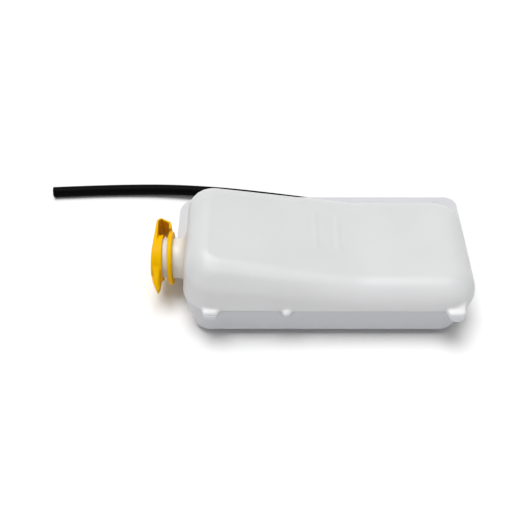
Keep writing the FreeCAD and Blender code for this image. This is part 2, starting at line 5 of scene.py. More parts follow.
import bpy
from mathutils import Matrix, Vector


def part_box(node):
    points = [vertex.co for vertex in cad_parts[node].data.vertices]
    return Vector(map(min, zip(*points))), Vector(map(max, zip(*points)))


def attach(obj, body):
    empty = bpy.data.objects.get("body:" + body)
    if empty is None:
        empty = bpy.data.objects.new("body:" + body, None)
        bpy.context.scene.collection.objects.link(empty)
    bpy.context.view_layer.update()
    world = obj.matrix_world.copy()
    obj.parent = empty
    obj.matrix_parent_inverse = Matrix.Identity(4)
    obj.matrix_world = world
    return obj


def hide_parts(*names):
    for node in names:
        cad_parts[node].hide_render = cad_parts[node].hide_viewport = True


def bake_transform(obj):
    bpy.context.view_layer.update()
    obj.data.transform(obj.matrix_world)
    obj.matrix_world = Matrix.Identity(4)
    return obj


bl_info = {
    "name": "Coolant reservoir",
    "version": (1, 0, 0),
    "blender": (4, 5, 0),
    "location": "View3D > Sidebar > Reservoir",
    "description": "Dresses the packed coolant reservoir with its moulded shapes and finishes",
    "category": "Object",
}

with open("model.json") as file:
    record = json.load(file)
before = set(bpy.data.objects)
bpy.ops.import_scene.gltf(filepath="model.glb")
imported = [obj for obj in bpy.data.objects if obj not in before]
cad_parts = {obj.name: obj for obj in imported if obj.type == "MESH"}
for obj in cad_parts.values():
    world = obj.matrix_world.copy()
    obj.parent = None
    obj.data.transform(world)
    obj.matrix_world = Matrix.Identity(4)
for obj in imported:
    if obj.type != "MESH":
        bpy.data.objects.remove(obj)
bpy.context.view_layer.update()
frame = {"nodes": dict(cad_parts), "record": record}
MM = 0.001
TINY = 0.01 * MM

# The two halves meet at the seam. The neck and the hinge are where the joints are.
FRONT_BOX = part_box("front_half")
REAR_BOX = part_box("rear_half")
JOINTS = {joint["name"]: joint for joint in frame["record"]["behaviour"]["joints"]}
SEAM = FRONT_BOX[0].z

# Route of the hose from its fitting to the cut end, in metres
HOSE_ROUTE = [
    (0.10045, 0.0795, 0.027),
    (0.0579, 0.0795, 0.027),
    (-0.0221, 0.1060, 0.0175),
    (-0.1141, 0.1285, 0.0100),
    (-0.2036, 0.1360, 0.00605),
    (-0.2931, 0.1303, 0.00605),
]

# Room past the seam that a half is moulded with before it is cut off level, and reach of a cut right through
SPARE = 4 * MM
DEEP = 30 * MM

# Steps that draw a large curve, the crown's knee, a corner of an outline or a lug, a pip and a small edge
CURVE_STEPS = 12
KNEE_STEPS = 4
CORNER_STEPS = 5
PIP_STEPS = 6
EDGE_STEPS = 4

# Sides of a large turned piece and of a small one
TURNED_SIDES = 96
SMALL_SIDES = 64

# How much of a direction lies along an axis that it counts as parallel to, as facing or as leaning to
PARALLEL = 0.9
FACING = 0.8
LEANING = 0.5

# Angle past which an edge is shaded sharp, and the one past which it is rounded
SHARP_EDGE = math.radians(40)
ROUNDED_EDGE = math.radians(30)

# Mix node sockets for colours: the two colours and the result
MIX_A, MIX_B, MIX_OUT = 6, 7, 2

# White that the floor throws back onto the object
BOUNCE_WHITE = "fcfcfc"


def linear(code):
    """A linear colour from an sRGB hex code."""
    parts = [int(code[i:i + 2], 16) / 255 for i in (0, 2, 4)]
    lin = [c / 12.92 if c <= 0.04045 else ((c + 0.055) / 1.055) ** 2.4 for c in parts]
    return (*lin, 1.0)


def add(tree, kind, settings=None, inputs=None):
    """Adds one node. Settings are its properties, inputs are values or the sockets that feed it."""
    item = tree.nodes.new(kind)
    for name, value in (settings or {}).items():
        setattr(item, name, value)
    for name, value in (inputs or {}).items():
        if isinstance(value, bpy.types.NodeSocket):
            tree.links.new(value, item.inputs[name])
        else:
            item.inputs[name].default_value = value
    return item


def repeats(millimetres):
    """The scale of a pattern whose features have this size."""
    return 1 / (millimetres * MM)


def new_material(name, numbers):
    """A material with its shader's numbers set, and the coordinates that its patterns read."""
    material = bpy.data.materials.new(name)
    material.use_nodes = True
    tree = material.node_tree
    shader = tree.nodes["Principled BSDF"]
    for socket, value in numbers.items():
        shader.inputs[socket].default_value = value
    coords = add(tree, "ShaderNodeTexCoord").outputs["Object"]
    return material, tree, shader, coords


def mottle(tree, shader, coords, width, detail, tints, roughness=None):
    """Lets a tint, and a roughness if given, drift between two values in clouds of a width in millimetres.

    Gives the clouds, for more to follow them.
    """
    clouds = add(tree, "ShaderNodeTexNoise",
                 inputs={"Vector": coords, "Scale": repeats(width), "Detail": detail}).outputs["Fac"]
    dark, light = (linear(code) for code in tints)
    tint = add(tree, "ShaderNodeMix", {"data_type": "RGBA"}, {0: clouds, MIX_A: dark, MIX_B: light})
    tree.links.new(tint.outputs[MIX_OUT], shader.inputs["Base Color"])
    if roughness:
        low, high = roughness
        rough = add(tree, "ShaderNodeMapRange", inputs={"Value": clouds, "To Min": low, "To Max": high})
        tree.links.new(rough.outputs["Result"], shader.inputs["Roughness"])
    return clouds


@cache
def hdpe_with_painted_light(place, crown, wall):
    """Natural polyethylene, moulded: milky, faintly uneven where the wall is thicker, satin like wax.

    Light that goes through the hollow and leaves it by the near wall is painted into the colour as a painted
    glow: each place has a tint over the hollow and one for its near wall, and each place's copy carries its
    own painted light or shade.
    """
    material, tree, shader, coords = new_material("hdpe_with_painted_light_" + place, {
        "IOR": 1.54, "Subsurface Weight": 0.3, "Subsurface Radius": (1.0, 0.95, 0.9),
        "Subsurface Scale": 6 * MM})
    cloud = add(tree, "ShaderNodeTexNoise", inputs={"Vector": coords, "Scale": repeats(71.43), "Detail": 2.0})
    axes = add(tree, "ShaderNodeSeparateXYZ", inputs={"Vector": coords})
    crown_edge, wall_edge = -52 * MM, -75 * MM
    unevenness = 0.3
    # Painted glow: towards the near wall the crown's tint turns to the wall's tint, standing in for light
    # that leaves the hollow.
    glow = add(tree, "ShaderNodeMapRange",
               inputs={"Value": axes.outputs["Y"], "From Min": crown_edge, "From Max": wall_edge,
                       "To Min": 0.15, "To Max": 0.85})
    share = add(tree, "ShaderNodeMath", {"operation": "MULTIPLY_ADD"},
                {0: cloud.outputs["Fac"], 1: unevenness, 2: glow.outputs["Result"]})
    tint = add(tree, "ShaderNodeMix", {"data_type": "RGBA"},
               {0: share.outputs["Value"], MIX_A: linear(crown), MIX_B: linear(wall)})
    peel = add(tree, "ShaderNodeTexNoise", inputs={"Vector": coords, "Scale": repeats(2.381), "Detail": 3.0})
    rough = add(tree, "ShaderNodeMapRange",
                inputs={"Value": cloud.outputs["Fac"], "To Min": 0.36, "To Max": 0.46})
    bump = add(tree, "ShaderNodeBump",
               inputs={"Height": peel.outputs["Fac"], "Strength": 0.08, "Distance": 0.4 * MM})
    tree.links.new(tint.outputs[MIX_OUT], shader.inputs["Base Color"])
    tree.links.new(rough.outputs["Result"], shader.inputs["Roughness"])
    tree.links.new(bump.outputs["Normal"], shader.inputs["Normal"])
    return material


@cache
def yellow_pp():
    """Yellow polypropylene, moulded: strong colour with a soft gloss and faint flow lines."""
    material, tree, shader, coords = new_material("yellow_polypropylene_moulded",
                                                  {"IOR": 1.49, "Specular IOR Level": 0.06})
    mottle(tree, shader, coords, width=16.67, detail=3.0, tints=("e4aa00", "efba00"), roughness=(0.30, 0.42))
    return material


@cache
def black_epdm():
    """Black EPDM rubber, extruded: deep black with a soft sheen, and a fine grain drawn coarse to show."""
    material, tree, shader, coords = new_material("black_epdm_extruded", {"Specular IOR Level": 0.025})
    mottle(tree, shader, coords, width=22.22, detail=4.0, tints=("030304", "070708"), roughness=(0.38, 0.5))
    grain = add(tree, "ShaderNodeTexNoise",
                inputs={"Vector": coords, "Scale": repeats(0.6667), "Detail": 2.0})
    bump = add(tree, "ShaderNodeBump",
               inputs={"Height": grain.outputs["Fac"], "Strength": 0.15, "Distance": 0.2 * MM})
    tree.links.new(bump.outputs["Normal"], shader.inputs["Normal"])
    return material


@cache
def black_nylon():
    """Black glass-filled nylon, moulded: matt, with a grey grain from the glass, drawn coarse to show."""
    material, tree, shader, coords = new_material("black_glass_filled_nylon", {"Roughness": 0.55})
    fibre = mottle(tree, shader, coords, width=1.4286, detail=4.0, tints=("19191a", "2c2d2e"))
    bump = add(tree, "ShaderNodeBump", inputs={"Height": fibre, "Strength": 0.2, "Distance": 0.2 * MM})
    tree.links.new(bump.outputs["Normal"], shader.inputs["Normal"])
    return material


@cache
def moulded_rubber():
    """Black nitrile rubber, moulded: dull, with a trace of mould release."""
    material, tree, shader, coords = new_material("black_nitrile_moulded", {"Roughness": 0.65})
    mottle(tree, shader, coords, width=5.556, detail=3.0, tints=("141414", "242424"))
    return material


@cache
def zinc_steel():
    """Zinc-plated steel: bluish silver with a slightly cloudy plated surface."""
    material, tree, shader, coords = new_material("zinc_plated_steel", {"Metallic": 1.0})
    mottle(tree, shader, coords, width=3.846, detail=4.0, tints=("b4b9bf", "d3d6d8"), roughness=(0.22, 0.38))
    return material


def background_rays(tree):
    """1 for the rays that meet a white background, those of the eye, of gloss and of glass, or else 0."""
    ray = add(tree, "ShaderNodeLightPath").outputs
    mirrored = add(tree, "ShaderNodeMath", {"operation": "MAXIMUM"},
                   {0: ray["Is Glossy Ray"], 1: ray["Is Transmission Ray"]})
    seen = add(tree, "ShaderNodeMath", {"operation": "MAXIMUM"},
               {0: ray["Is Camera Ray"], 1: mirrored.outputs["Value"]})
    return seen.outputs["Value"]


def finish_node(name, material):
    """Gives a CAD node its material."""
    mesh = frame["nodes"][name].data
    mesh.materials.clear()
    mesh.materials.append(material)


def only(obj):
    """Makes one object the only one selected."""
    bpy.ops.object.select_all(action="DESELECT")
    obj.select_set(True)
    bpy.context.view_layer.objects.active = obj


def pick(obj, kind, test):
    """Opens a mesh with only those corners, edges or faces selected that the test takes.

    The test gets the place of the corner or of the middle, and the normal or the edge's direction.
    """
    only(obj)
    mesh = obj.data
    for items in (mesh.vertices, mesh.edges, mesh.polygons):
        items.foreach_set("select", [False] * len(items))
    if kind == "VERT":
        for corner in mesh.vertices:
            corner.select = test(corner.co, corner.normal)
    elif kind == "EDGE":
        for edge in mesh.edges:
            start, end = (mesh.vertices[i].co for i in edge.vertices)
            edge.select = test((start + end) / 2, (end - start).normalized())
    else:
        for face in mesh.polygons:
            face.select = test(face.center, face.normal)
    bpy.context.tool_settings.mesh_select_mode = (kind == "VERT", kind == "EDGE", kind == "FACE")
    bpy.ops.object.mode_set(mode="EDIT")


def done():
    """Closes the mesh that pick opened."""
    bpy.ops.object.mode_set(mode="OBJECT")


def everything(place, normal):
    """The test that takes all of a mesh."""
    return True


def bevel(obj, kind, test, radius, steps=CURVE_STEPS):
    """Rounds the corners, the edges or the borders of faces that the test takes."""
    pick(obj, kind, test)
    bpy.ops.mesh.bevel(offset=radius, segments=steps, affect="VERTICES" if kind == "VERT" else "EDGES")
    done()


def shift(obj, test, step, **options):
    """Moves the corners that the test takes."""
    pick(obj, "VERT", test)
    bpy.ops.transform.translate(value=step, **options)
    done()


def stretch(obj, test, shares, centre):
    """Scales the corners that the test takes about a point."""
    pick(obj, "VERT", test)
    bpy.ops.transform.resize(value=shares, center_override=centre)
    done()


def score(obj, place, normal):
    """Adds a line all round a mesh where a plane meets it."""
    pick(obj, "FACE", everything)
    bpy.ops.mesh.bisect(plane_co=place, plane_no=normal)
    done()


def close_up(weld=False, fill=False):
    """Welds corners that meet and fills holes, if asked, turns all faces outwards and closes the mesh."""
    bpy.ops.mesh.select_all(action="SELECT")
    if weld:
        bpy.ops.mesh.remove_doubles(threshold=TINY)
    if fill:
        bpy.ops.mesh.fill_holes(sides=0)
        bpy.ops.mesh.select_all(action="SELECT")
    bpy.ops.mesh.normals_make_consistent(inside=False)
    done()


def settle(obj, name):
    """Names a new primitive and puts its place into its mesh."""
    obj.name = name
    only(obj)
    bpy.ops.object.transform_apply(location=True, rotation=True, scale=True)
    return obj


def block(name, low, high):
    """A box between two corners."""
    low, high = Vector(low), Vector(high)
    bpy.ops.mesh.primitive_cube_add(size=1.0, location=(low + high) / 2, scale=high - low)
    return settle(bpy.context.object, name)


def drum(name, radius, start, end, sides=SMALL_SIDES):
    """A cylinder between two points."""
    start, end = Vector(start), Vector(end)
    run = end - start
    bpy.ops.mesh.primitive_cylinder_add(vertices=sides, radius=radius, depth=run.length,
                                        location=(start + end) / 2,
                                        rotation=run.to_track_quat("Z", "Y").to_euler())
    return settle(bpy.context.object, name)


def combine(obj, operation, *tools):
    """Joins a mesh with others or cuts it by them. The others are used up."""
    for tool in tools:
        only(obj)
        step = obj.modifiers.new("combine", "BOOLEAN")
        step.operation = operation
        step.solver = "MANIFOLD"
        step.object = tool
        bpy.ops.object.modifier_apply(modifier=step.name)
        mesh = tool.data
        bpy.data.objects.remove(tool)
        bpy.data.meshes.remove(mesh)
    return obj


def mould(obj, grain, rounds):
    """Gives a mesh one even skin and softens its corners and roots, as moulding does."""
    only(obj)
    skin = obj.modifiers.new("skin", "REMESH")
    skin.mode = "VOXEL"
    skin.voxel_size = grain
    skin.use_smooth_shade = True
    bpy.ops.object.modifier_apply(modifier=skin.name)
    soft = obj.modifiers.new("soft", "SMOOTH")
    soft.factor = 0.5
    soft.iterations = rounds
    bpy.ops.object.modifier_apply(modifier=soft.name)
    return obj


def round_edges(obj, width):
    """Rounds every sharp edge of a mesh by the same width."""
    only(obj)
    edge = obj.modifiers.new("edges", "BEVEL")
    edge.width = width
    edge.segments = EDGE_STEPS
    edge.limit_method = "ANGLE"
    edge.angle_limit = ROUNDED_EDGE
    bpy.ops.object.modifier_apply(modifier=edge.name)
    return obj


def soften(corners):
    """Rounds the corners of a closed outline. Each corner has its place and the length to round off."""
    points = []
    for i, (across, out, length) in enumerate(corners):
        here = Vector((across, out))
        if not length:
            points.append(here)
            continue
        before = Vector(corners[i - 1][:2])
        after = Vector(corners[(i + 1) % len(corners)][:2])
        start = here + (before - here).normalized() * length
        end = here + (after - here).normalized() * length
        for k in range(CORNER_STEPS + 1):
            t = k / CORNER_STEPS
            points.append(start * (1 - t) ** 2 + here * 2 * t * (1 - t) + end * t ** 2)
    return points


def lathe(name, outline, place, sides=TURNED_SIDES):
    """Turns a closed outline of (radius, height) points about the axis of a place.

    An outline that starts on the axis also ends there.
    """
    solid = outline[0][0] == 0
    rings = outline[1:-1] if solid else [*outline, outline[0]]
    bpy.ops.mesh.primitive_circle_add(vertices=sides, radius=rings[0][0], location=(0, 0, rings[0][1]))
    obj = settle(bpy.context.object, name)
    pick(obj, "VERT", everything)
    for (before, low), (radius, height) in zip(rings, rings[1:]):
        bpy.ops.mesh.extrude_region_move(TRANSFORM_OT_translate={"value": (0, 0, height - low)})
        share = radius / before
        bpy.ops.transform.resize(value=(share, share, 1), center_override=(0, 0, height))
    close_up(weld=True, fill=solid)
    obj.matrix_world = place
    return settle(obj, name)


def plate(name, outline, span, place, root=None, flare=1.0):
    """A flat piece with a closed outline of (across, out) points, between the two sides of a span.

    What lies within the root radius is made wider by the flare.
    """
    low, high = span
    bpy.ops.mesh.primitive_plane_add(size=1.0)
    obj = bpy.context.object
    pick(obj, "VERT", everything)
    bpy.ops.mesh.merge(type="CENTER")
    bpy.ops.transform.translate(value=(outline[0][0], low, outline[0][1]))
    for (across, out), (next_across, next_out) in zip(outline, outline[1:]):
        step = (next_across - across, 0, next_out - out)
        bpy.ops.mesh.extrude_vertices_move(TRANSFORM_OT_translate={"value": step})
    bpy.ops.mesh.select_all(action="SELECT")
    bpy.ops.mesh.edge_face_add()
    bpy.ops.mesh.extrude_region_move(TRANSFORM_OT_translate={"value": (0, high - low, 0)})
    close_up()
    if root:
        stretch(obj, lambda p, n: abs(p.x) < root, (1, flare, 1), (0, (low + high) / 2, 0))
    obj.matrix_world = place
    return settle(obj, name)


def finish_piece(obj, material, body, slot, *nodes):
    """Shades a new piece, gives it its material and says what it rides on, if anything, and stands for."""
    only(obj)
    bpy.ops.object.shade_smooth_by_angle(angle=SHARP_EDGE)
    obj.data.materials.clear()
    obj.data.materials.append(material)
    if body:
        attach(obj, body)
    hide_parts(*nodes)


def lean_in(obj, tank, middle):
    """Leans the upper half's walls in from the seam, by the draft that lets it leave its mould."""
    rows = sorted({(round(v.co.x, 6), round(v.co.z, 6)) for v in obj.data.vertices})
    half = max(v.co.y for v in obj.data.vertices) - middle
    for x, z in rows:
        lean = math.tan(tank.draft) * (z - SEAM)

        def row(p, n):
            return abs(p.x - x) < TINY and abs(p.z - z) < TINY

        stretch(obj, row, (1, 1 - lean / half, 1), (0, middle, 0))
        if x == rows[0][0]:
            shift(obj, row, (lean, 0, 0))
        elif x == rows[-1][0]:
            shift(obj, row, (-lean, 0, 0))


def round_uprights(obj, tank, inset, middle):
    """Rounds the four upright corners, more on the near side."""
    ends = 0.25 * tank.length

    def upright(p, n):
        return abs(n.z) > PARALLEL and abs(p.x - tank.left - tank.length / 2) > ends

    for side, radius in ((-1, tank.near_corner), (1, tank.far_corner)):
        bevel(obj, "EDGE", lambda p, n: upright(p, n) and (p.y - middle) * side > 0, radius - inset)


def round_border(obj, upward, radius):
    """Rounds the border between the top (or the base) and the walls."""
    pick(obj, "FACE", lambda p, n: n.z * upward > FACING)
    bpy.ops.mesh.region_to_loop()
    bpy.ops.mesh.bevel(offset=radius, segments=CURVE_STEPS)
    done()


def knee_reach(tank):
    """How far the crown's knee is rounded to each side."""
    return tank.knee_radius * math.tan(math.atan(tank.rise / tank.run) / 2)


def crown_climb(tank, x):
    """How far the crown has climbed above the flat end at a place along the tank."""
    knee = tank.left + tank.run
    reach = knee_reach(tank)
    if x < knee - reach:
        return tank.rise * (knee - x) / tank.run
    return max(knee + reach - x, 0) ** 2 / (2 * tank.knee_radius)


def upper_block(tank, name, inset, foot):
    """Closed block of the upper half, drawn in by an inset, that starts at a foot below the seam."""
    left, right = tank.left + inset, tank.left + tank.length - inset
    near, far = tank.near + inset, tank.near + tank.depth - inset
    middle = (near + far) / 2
    top = tank.thick - inset
    knee = tank.left + tank.run
    obj = block("upper_" + name, (left, near, foot), (right, far, top))
    reach = knee_reach(tank)
    columns = [knee + reach * i / KNEE_STEPS for i in range(-KNEE_STEPS, KNEE_STEPS + 1)]
    for x in columns:
        score(obj, (x, 0, 0), (1, 0, 0))
    for x in (left, *columns):
        shift(obj, lambda p, n: abs(p.x - x) < TINY and p.z > top - TINY, (0, 0, crown_climb(tank, x)))
    lean_in(obj, tank, middle)
    round_uprights(obj, tank, inset, middle)
    round_border(obj, 1, tank.crown_radius - inset)

    def crest(p, n):
        return p.x < left + tank.near_corner and n.y < -0.3 and LEANING < n.z < PARALLEL

    # At the neck end the near edge of the crown is eased back, half way between the top and the wall.
    ease = tank.crown_ease * math.sqrt(0.5)
    shift(obj, crest, (0, ease, -ease), use_proportional_edit=True, proportional_edit_falloff="SMOOTH",
          proportional_size=tank.crown_radius)
    return obj


def outline_ring(low, high, near_corner, far_corner):
    """Flat outline of a half at one height, with rounded corners."""
    low, high = Vector(low), Vector(high)
    bpy.ops.mesh.primitive_plane_add(size=1.0, location=(low + high) / 2)
    ring = bpy.context.object
    ring.scale = (high.x - low.x, high.y - low.y, 1)
    settle(ring, "ring")
    bevel(ring, "VERT", lambda p, n: p.y < low.y + TINY, near_corner)
    bevel(ring, "VERT", lambda p, n: p.y > high.y - TINY, far_corner)
    return ring


def lower_block(tank, name, inset, head):
    """Closed block of the lower half, drawn in by an inset, that ends at a head above the seam.

    Its rim stands clear of the ground, on a foot that is set in.
    """
    left, right = tank.left + inset, tank.left + tank.length - inset
    near, far = tank.near + inset, tank.near + tank.depth - inset
    rim = tank.foot_height + inset
    rings = []
    for height in (rim, head):
        lean = math.tan(tank.draft) * (SEAM - height)
        share = (SEAM - height) / (SEAM - tank.foot_height)
        corner = tank.near_corner - (tank.near_corner - tank.rim_corner) * share
        low = (left + lean + tank.rim_short * share, near + lean, height)
        high = (right - lean - tank.rim_end_short * share, far - lean, height)
        rings.append(outline_ring(low, high, corner - inset, tank.far_corner - inset))
    only(rings[0])
    rings[1].select_set(True)
    bpy.ops.object.join()
    obj = rings[0]
    obj.name = "lower_" + name
    pick(obj, "FACE", everything)
    bpy.ops.mesh.bridge_edge_loops()
    close_up(fill=True)
    round_border(obj, -1, max(tank.rim_radius - inset, tank.rim_radius / 3))
    back = tank.foot_inset + math.tan(tank.draft) * SEAM
    foot = block("foot", (left + back + tank.rim_short, near + back, inset),
                 (right - back - tank.rim_end_short, far - back, rim + tank.foot_height))
    bevel(foot, "EDGE", lambda p, n: abs(n.z) > PARALLEL, tank.foot_inset)
    return combine(obj, "UNION", foot)


def cut_level(obj, keep_above):
    """Cuts a half off level at the seam."""
    pick(obj, "FACE", everything)
    bpy.ops.mesh.bisect(plane_co=(0, 0, SEAM), plane_no=(0, 0, 1), use_fill=True, clear_inner=keep_above,
                        clear_outer=not keep_above)
    close_up(weld=True)


def lug(tank, name, middle, width, out, spare):
    """Square lug astride the seam that ramps up into the near wall, with some to spare below."""
    root = tank.near + tank.near_corner / 2
    bend = tank.near - 0.1 * out
    obj = block(name, (middle - width / 2, tank.near - out, SEAM - tank.lug_deep - spare),
                (middle + width / 2, root, SEAM + tank.lug_thick))
    score(obj, (0, bend, 0), (0, 1, 0))
    stretch(obj, lambda p, n: p.y > root - TINY, (tank.lug_flare, 1, 1), (middle, 0, 0))
    shift(obj, lambda p, n: p.y > root - TINY and p.z > SEAM, (0, 0, tank.lug_ramp))
    shift(obj, lambda p, n: p.y < bend - TINY and p.z > SEAM, (0, tank.lug_lean, 0))

    def outer(p, n):
        return p.y < bend - TINY and abs(n.z) > LEANING

    bevel(obj, "EDGE", outer, tank.lug_round, CORNER_STEPS)
    return round_edges(obj, tank.lug_soft)


def lugs(tank, spare):
    """The two lugs on the near wall."""
    right = tank.left + tank.length
    return [lug(tank, "near_lug", tank.left + tank.lug_from_end, tank.lug_width, tank.lug_out, spare),
            lug(tank, "end_lug", right - tank.end_lug_from_end, tank.end_lug_width, tank.end_lug_out, spare)]


def pip(tank):
    """Round pip on the near side."""
    middle = tank.left + tank.pip_from_end
    height = SEAM - tank.pip_drop
    obj = drum("pip", tank.pip_radius, (middle, tank.near + 2 * tank.wall, height),
               (middle, tank.near - tank.pip_out, height))
    bevel(obj, "FACE", lambda p, n: n.y < -PARALLEL, 0.75 * tank.pip_radius, PIP_STEPS)
    return obj


def size(name, description, millimetres):
    """A length that a user can change."""
    return bpy.props.FloatProperty(name=name, description=description, default=millimetres * MM, precision=5,
                                   unit="LENGTH")


def angle(name, description, degrees):
    """An angle that a user can change."""
    return bpy.props.FloatProperty(name=name, description=description, default=math.radians(degrees),
                                   subtype="ANGLE")


def number(name, description, value):
    """A plain number that a user can change."""
    return bpy.props.FloatProperty(name=name, description=description, default=value, precision=3)


def count(name, description, value):
    """A whole number that a user can change."""
    return bpy.props.IntProperty(name=name, description=description, default=value)


class TankSettings(bpy.types.PropertyGroup):
    left: size("Neck end", "Where the neck end of the tank is", FRONT_BOX[0].x / MM)
    near: size("Near wall", "Where the near wall meets the seam", -75.0)
    length: size("Length", "Length of the tank at the seam", 288.9)
    depth: size("Depth", "Depth of the tank at the seam", 139.5)
    thick: size("Thickness", "Height of the flat end above the ground", 66.7)
    rise: size("Crown rise", "How far the crown rises towards the neck end", 27.3)
    run: size("Crown run", "Length of the sloping part of the crown", 173.0)
    knee_radius: size("Knee", "Radius where the crown starts to rise", 140.0)
    wall: size("Wall", "Thickness of the moulded wall", 2.5)
    draft: angle("Draft", "How much the walls lean in from the seam", 4.5)
    near_corner: size("Near corners", "Radius of the upright corners at the near side", 31.0)
    rim_corner: size("Rim corners", "Radius of the near corners at the lower rim", 19.0)
    rim_short: size("Rim neck end", "How far the lower rim is set in at the neck end", 6.5)
    rim_end_short: size("Rim end", "How far the lower rim is set in at the other end", 13.0)
    far_corner: size("Far corners", "Radius of the upright corners at the far side", 28.0)
    crown_radius: size("Crown edge", "Radius between the crown and the walls", 23.0)
    crown_ease: size("Crown ease", "How far the near edge of the crown is eased back at the neck end", 4.0)
    outlet_depth: size("Outlet root", "Depth of the pad that carries the outlet", 13.0)
    rim_radius: size("Rim", "Radius of the lower rim", 2.0)
    foot_height: size("Foot height", "How far the rim stands above the ground", 7.5)
    foot_inset: size("Foot inset", "How far the foot is set in from the rim", 24.0)
    lug_out: size("Lug reach", "How far the lug by the neck stands out of the near wall", 9.5)
    end_lug_out: size("End lug reach", "How far the lug at the other end stands out", 11.0)
    lug_lean: size("Lug lean", "How far the front of a lug leans back to its top", 5.2)
    lug_soft: size("Lug edges", "Radius of the lugs' edges", 2.6)
    lug_thick: size("Lug thickness", "Thickness of the lugs above the seam", 3.5)
    lug_deep: size("Lug depth", "Thickness of the lugs below the seam", 4.0)
    lug_width: size("Near lug", "Width of the lug by the neck", 16.0)
    lug_from_end: size("Near lug place", "From the neck end to the middle of its lug", 28.5)
    end_lug_width: size("End lug", "Width of the lug at the other end", 18.0)
    end_lug_from_end: size("End lug place", "From the other end to the middle of its lug", 22.8)
    lug_ramp: size("Lug ramp", "How far a lug's top climbs to its root inside the wall", 7.0)
    lug_round: size("Lug corners", "Radius of the lugs' outer corners", 5.0)
    lug_flare: number("Lug flare", "How much wider a lug is at its root inside the wall", 1.1)
    pip_radius: size("Pip", "Radius of the pip on the near side", 5.2)
    pip_out: size("Pip reach", "How far the pip stands out", 5.6)
    pip_drop: size("Pip drop", "How far the pip's middle lies below the seam", 2.0)
    pip_from_end: size("Pip place", "From the neck end to the middle of the pip", 102.2)
    mark_length: size("Mark length", "Length of a level mark", 46.0)
    mark_width: size("Mark width", "Width of a level mark", 3.0)
    mark_relief: size("Mark relief", "How far a level mark stands out of the crown", 0.4)
    mark_from_end: size("Mark place", "From the neck end to the first level mark", 132.0)
    mark_pitch: size("Mark pitch", "From one level mark to the next", 22.0)
    mark_back: size("Mark shift", "How far the marks lie behind the middle", 8.0)
    flange_thick: size("Flange", "Thickness of the mounting flange", 5.0)
    flange_past: size("Flange end", "How far the flange reaches past the tank's end", 1.5)
    flange_corner: size("Flange corner", "Radius of the flange's corner at the neck end", 24.0)
    flange_end_corner: size("Flange end corner", "Radius of the flange's other corner", 13.0)
    grain: size("Skin grain", "Fineness of the moulded skin", 1.25)
    rear_grain: size("Rear grain", "Fineness of the lower half's skin", 1.4)
    rounds: count("Softness", "How much moulding softens the skin", 9)


class NeckSettings(bpy.types.PropertyGroup):
    radius: size("Radius", "Outside radius of the filler neck", 20.7)
    wall: size("Wall", "Wall of the filler neck", 2.6)
    length: size("Length", "Length of the neck outside the tank", 28.7)
    tail: size("Tail", "Length of the neck inside the tank", 5.5)
    root: size("Root", "Radius of the pad that the neck stands on", 24.7)
    flare: size("Flare", "Height over which the neck widens to its root", 7.0)
    sink: size("Sink", "How deep the neck's root is sunk into the tank", 3.0)
    bead: size("Bead", "Height of the bead that keeps the cap's collar on", 0.9)
    bead_place: size("Bead place", "From the tank to the bead", 16.6)
    bead_length: size("Bead length", "Length of the bead's slope", 1.6)


class CapSettings(bpy.types.PropertyGroup):
    collar_inner: size("Collar bore", "Inside radius of the collar", 20.9)
    collar_outer: size("Collar rim", "Outside radius of the collar", 27.4)
    collar_low: size("Collar start", "From the tank to the collar", 11.7)
    collar_high: size("Collar end", "From the tank to the collar's far side", 16.5)
    strap_half: size("Strap", "Half the width of the strap and of the lid's ear", 19.0)
    ear_thick: size("Ear", "Thickness of the lid's ear", 4.4)
    ear_root: size("Ear root", "How far from the neck's axis the ear starts", 8.0)
    lid_tilt: angle("Lid tilt", "How much the lid's face leans towards the strap", 3.8)
    strap_thick: size("Strap thickness", "Thickness of the strap", 2.2)
    strap_bend: size("Strap bend", "Radius at which the strap turns outwards", 32.9)
    web: size("Web", "Thickness of the film hinge", 0.8)
    skirt_inner: size("Skirt bore", "Inside radius of the lid's skirt", 21.3)
    skirt_outer: size("Skirt", "Outside radius of the lid's skirt", 23.3)
    skirt_edge: size("Skirt edge", "From the tank to the edge of the skirt", 21.9)
    lid_under: size("Lid underside", "From the tank to the underside of the lid's plate", 29.8)
    lid_top: size("Lid top", "From the tank to the lid's face", 32.0)
    skirt_bead: size("Skirt bead", "Height of the bead round the skirt's edge", 0.4)
    ear_flare: number("Ear flare", "How much wider the ear is at its root", 1.18)
    lid_dish: size("Lid dish", "Depth of the shallow dish in the lid's face", 0.5)
    tab_width: size("Tab width", "Width of the pull tab at its tip", 9.0)
    tab_flare: number("Tab flare", "How much wider the tab is at its root", 4.2)
    tab_reach: size("Tab reach", "From the neck's axis to the tip of the tab", 39.0)
    tab_drop: size("Tab drop", "How far the tab slopes back to its tip", 4.8)
    tab_thick: size("Tab thickness", "Thickness of the tab at its root", 3.0)
    seal_width: size("Seal", "Width of the lid's seal", 2.2)
    seal_gap: number("Seal gap", "Share of the room above the neck that the seal leaves free", 0.27)
    grain: size("Skin grain", "Fineness of the moulded skin", 0.45)
    rounds: count("Softness", "How much moulding softens the skin", 6)


class FittingSettings(bpy.types.PropertyGroup):
    bolt_radius: size("Bolt hole", "Radius of the holes in the flange sleeves", 3.3)
    stem_radius: size("Stem", "Radius of the elbow's stem", 5.0)
    grommet_hole: size("Grommet hole", "Radius of the hole for the grommet", 6.8)
    outlet_pad: size("Outlet pad", "Radius of the flat pad round the grommet", 8.7)


class HoseSettings(bpy.types.PropertyGroup):
    diameter: size("Diameter", "Outside diameter", 12.0)
    wall: size("Wall", "Wall of the hose", 2.0)


